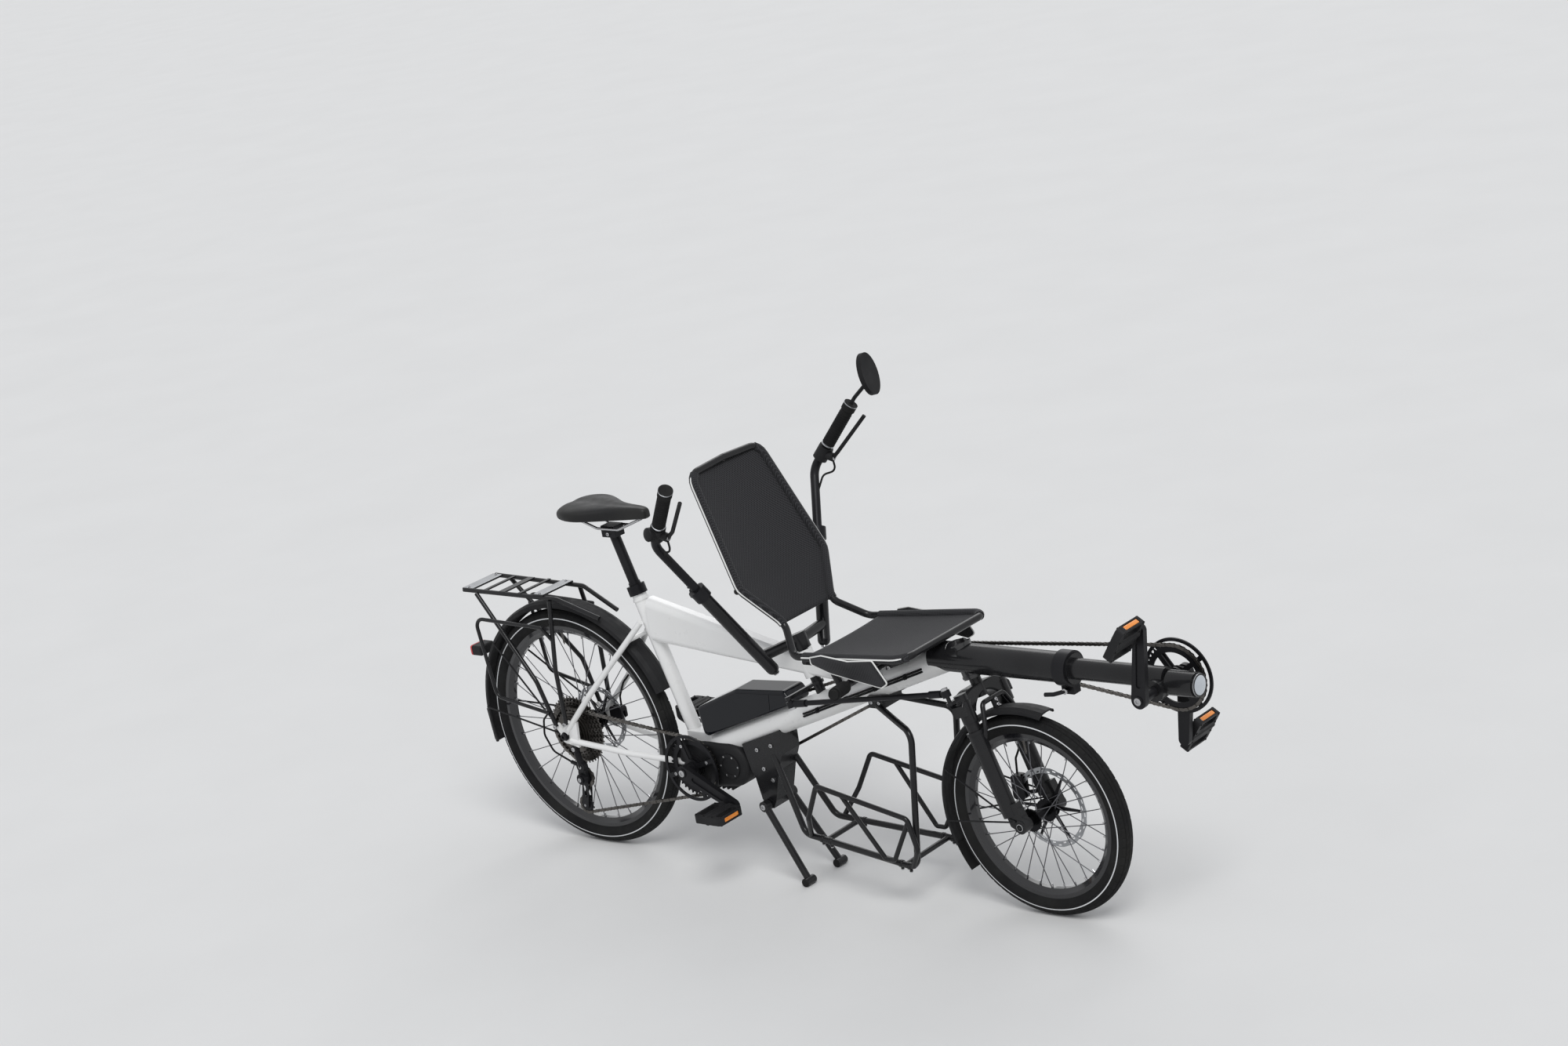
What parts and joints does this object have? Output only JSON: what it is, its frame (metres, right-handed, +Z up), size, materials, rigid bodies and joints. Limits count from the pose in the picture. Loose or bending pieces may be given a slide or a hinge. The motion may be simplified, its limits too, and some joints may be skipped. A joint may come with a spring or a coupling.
{
  "type": "semi-recumbent tandem bicycle",
  "caption": "Semi-recumbent tandem bicycle: mesh chair and boom cranks in front, upright saddle and tall steering bars behind, with motor, battery, racks and stand.",
  "frame": {"origin": "on the floor under the middle of the bicycle, on its middle plane", "axes": "+X forward, +Y left, +Z up"},
  "size_m": [2.349, 0.7276, 1.2717],
  "materials": {
    "white_paint": "gloss",
    "black_paint": "gloss",
    "black_alloy": "satin",
    "tyre": "matte",
    "rubber": "matte",
    "black_plastic": "matte",
    "gloss_plastic": "gloss",
    "mesh_fabric": "matte",
    "steel": "brushed",
    "saddle_cover": "satin",
    "red_lens": "gloss"
  },
  "bodies": {
    "frame": {"frame_main": "white_paint", "rear_triangle": "white_paint", "chain_stays": "white_paint", "rear_axle": "black_alloy", "motor": "black_plastic", "battery": "gloss_plastic", "rack_stand_bracket": "black_alloy", "boom_sleeve": "black_paint", "boom_tube": "black_paint", "boom_clamp": "black_alloy", "headlight": "black_plastic", "seat_post": "black_alloy", "saddle_rails": "steel", "saddle": "saddle_cover", "mesh_frame": "black_paint", "mesh_back": "mesh_fabric", "mesh_pan": "mesh_fabric", "hand_bar": "black_alloy", "hand_grips": "rubber", "low_rack": "black_paint", "pannier_hoop_right": "black_paint", "pannier_hoop_left": "black_paint", "rear_mudguard": "black_plastic", "rear_rack": "black_paint", "tail_lamp": "red_lens", "drive_chain": "steel", "sync_chain": "steel", "chain_idlers": "black_plastic", "derailleur": "black_alloy", "rear_caliper": "black_alloy", "frame_cables": "black_plastic"},
    "fork": {"fork_upper": "black_paint", "fork_lowers": "black_paint", "front_mudguard": "black_plastic", "front_caliper": "black_alloy", "fork_hose": "black_plastic"},
    "front_wheel": {"front_tyre": "tyre", "front_rim": "black_alloy", "front_hub": "black_alloy", "front_rotor": "steel"},
    "rear_wheel": {"rear_tyre": "tyre", "rear_rim": "black_alloy", "rear_hub": "black_alloy", "rear_rotor": "steel", "cassette": "steel"},
    "handlebar": {"bar_column": "black_paint", "bar_clamps": "black_alloy", "bar_ends": "black_alloy", "bar_grips": "rubber", "bar_controls": "black_plastic", "mirror_arm": "black_plastic", "bar_hoses": "black_plastic"},
    "steering_rod": {"steering_rod": "black_alloy"},
    "rear_cranks": {"rear_crankset": "black_alloy"},
    "front_cranks": {"front_crankset": "black_alloy"},
    "rear_pedal_right": {"rear_pedal_right": "black_plastic"},
    "rear_pedal_left": {"rear_pedal_left": "black_plastic"},
    "front_pedal_right": {"front_pedal_right": "black_plastic"},
    "front_pedal_left": {"front_pedal_left": "black_plastic"},
    "stand": {"stand_legs": "black_alloy"}
  },
  "joints": [
    {"name": "fork_steer", "type": "hinge", "parent": "frame", "child": "fork", "pos_m": [0.65048, 0, 0.24682], "axis": [-0.309, 0, 0.9511], "range_deg": [-30, 30]},
    {"name": "bar_steer", "type": "hinge", "parent": "frame", "child": "handlebar", "pos_m": [0.0195, 0, 0.6], "axis": [-0.309, 0, 0.9511], "range_deg": [-30, 30]},
    {"name": "rod_swivel", "type": "hinge", "parent": "handlebar", "child": "steering_rod", "pos_m": [0.04777, -0.11, 0.51298], "axis": [-0.309, 0, 0.9511], "range_deg": [-30, 30]},
    {"name": "front_wheel_spin", "type": "hinge", "parent": "fork", "child": "front_wheel", "pos_m": [0.6695, 0, 0.253], "axis": [0, 1, 0], "continuous": true},
    {"name": "rear_wheel_spin", "type": "hinge", "parent": "frame", "child": "rear_wheel", "pos_m": [-0.8105, 0, 0.3295], "axis": [0, 1, 0], "continuous": true},
    {"name": "rear_crank_spin", "type": "hinge", "parent": "frame", "child": "rear_cranks", "pos_m": [-0.3855, 0, 0.278], "axis": [0, 1, 0], "continuous": true},
    {"name": "front_crank_spin", "type": "hinge", "parent": "frame", "child": "front_cranks", "pos_m": [1.0745, 0, 0.612], "axis": [0, 1, 0], "continuous": true},
    {"name": "rear_pedal_right_spin", "type": "hinge", "parent": "rear_cranks", "child": "rear_pedal_right", "pos_m": [-0.23143, -0.15, 0.20616], "axis": [0, 1, 0], "continuous": true},
    {"name": "rear_pedal_left_spin", "type": "hinge", "parent": "rear_cranks", "child": "rear_pedal_left", "pos_m": [-0.53957, 0.15, 0.34985], "axis": [0, 1, 0], "continuous": true},
    {"name": "front_pedal_right_spin", "type": "hinge", "parent": "front_cranks", "child": "front_pedal_right", "pos_m": [1.10227, -0.15, 0.77972], "axis": [0, 1, 0], "continuous": true},
    {"name": "front_pedal_left_spin", "type": "hinge", "parent": "front_cranks", "child": "front_pedal_left", "pos_m": [1.04673, 0.15, 0.44428], "axis": [0, 1, 0], "continuous": true},
    {"name": "stand_fold", "type": "hinge", "parent": "frame", "child": "stand", "pos_m": [-0.1625, 0, 0.195], "axis": [0, 1, 0], "range_deg": [0, 103]}
  ],
  "couplings": [
    {"joint": "bar_steer", "follows": "fork_steer", "ratio": 1},
    {"joint": "rod_swivel", "follows": "fork_steer", "ratio": -1},
    {"joint": "front_crank_spin", "follows": "rear_crank_spin", "ratio": 1}
  ]
}
